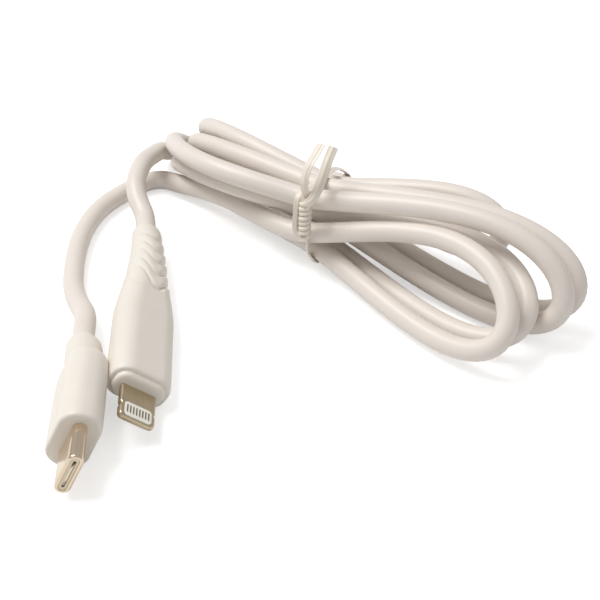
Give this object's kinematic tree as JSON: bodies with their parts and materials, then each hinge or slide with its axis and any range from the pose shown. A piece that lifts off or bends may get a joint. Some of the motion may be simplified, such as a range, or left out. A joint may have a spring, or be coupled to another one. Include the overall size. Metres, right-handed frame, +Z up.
{
  "type": "charging cable",
  "caption": "Slim charging cable wound in a hank with a twist tie, with a flat blade plug on one end and an oval plug on the other.",
  "frame": {"origin": "middle of the box round the two plugs, on the plane that they rest on", "axes": "-Y is the way both plugs point, +Z is up from the resting plane, +X to the right"},
  "size_m": [0.0927, 0.1032, 0.0269],
  "materials": {
    "cord_jacket": "matt moulded jacket, warm off-white",
    "tie_strip": "flat plastic-coated strip, cream",
    "plug_moulding": "soft satin moulding, warm off-white",
    "inner_plastic": "satin plastic",
    "blade_steel": "fine satin steel",
    "white_insert": "hard white plastic",
    "contact_dark": "dark plated contact",
    "contact_gold": "gold plated contact",
    "circuit_board": "green solder mask",
    "black_plastic": "black moulded plastic",
    "shield_metal": "thin pressed steel",
    "oval_shell_metal": "satin drawn steel",
    "crimp_brass": "crimped brass ring",
    "wire_red": "coloured wire covering",
    "wire_blue": "coloured wire covering"
  },
  "bodies": {
    "root": {"blade_body": "plug_moulding", "blade_strain_relief": "plug_moulding", "blade_inner_mould": "inner_plastic", "blade_frame": "blade_steel", "blade_insert": "white_insert", "blade_contacts_top": "contact_dark", "blade_contacts_bottom": "contact_dark", "blade_board": "circuit_board", "blade_chip": "black_plastic", "blade_shield": "shield_metal", "blade_wires": "wire_red", "blade_crimp": "crimp_brass", "blade_cord_end": "cord_jacket", "oval_body": "plug_moulding", "oval_collar": "plug_moulding", "oval_inner_mould": "inner_plastic", "oval_shell": "oval_shell_metal", "oval_insulator": "black_plastic", "oval_contacts_upper": "contact_gold", "oval_contacts_lower": "contact_gold", "oval_latch_left": "shield_metal", "oval_latch_right": "shield_metal", "oval_board": "circuit_board", "oval_chip": "black_plastic", "oval_rear_shield": "shield_metal", "oval_wires": "wire_blue", "oval_crimp": "crimp_brass", "oval_cord_end": "cord_jacket", "cord_lead_blade": "cord_jacket", "cord_hank": "cord_jacket", "cord_lead_oval": "cord_jacket", "twist_tie": "tie_strip"}
  },
  "joints": []
}
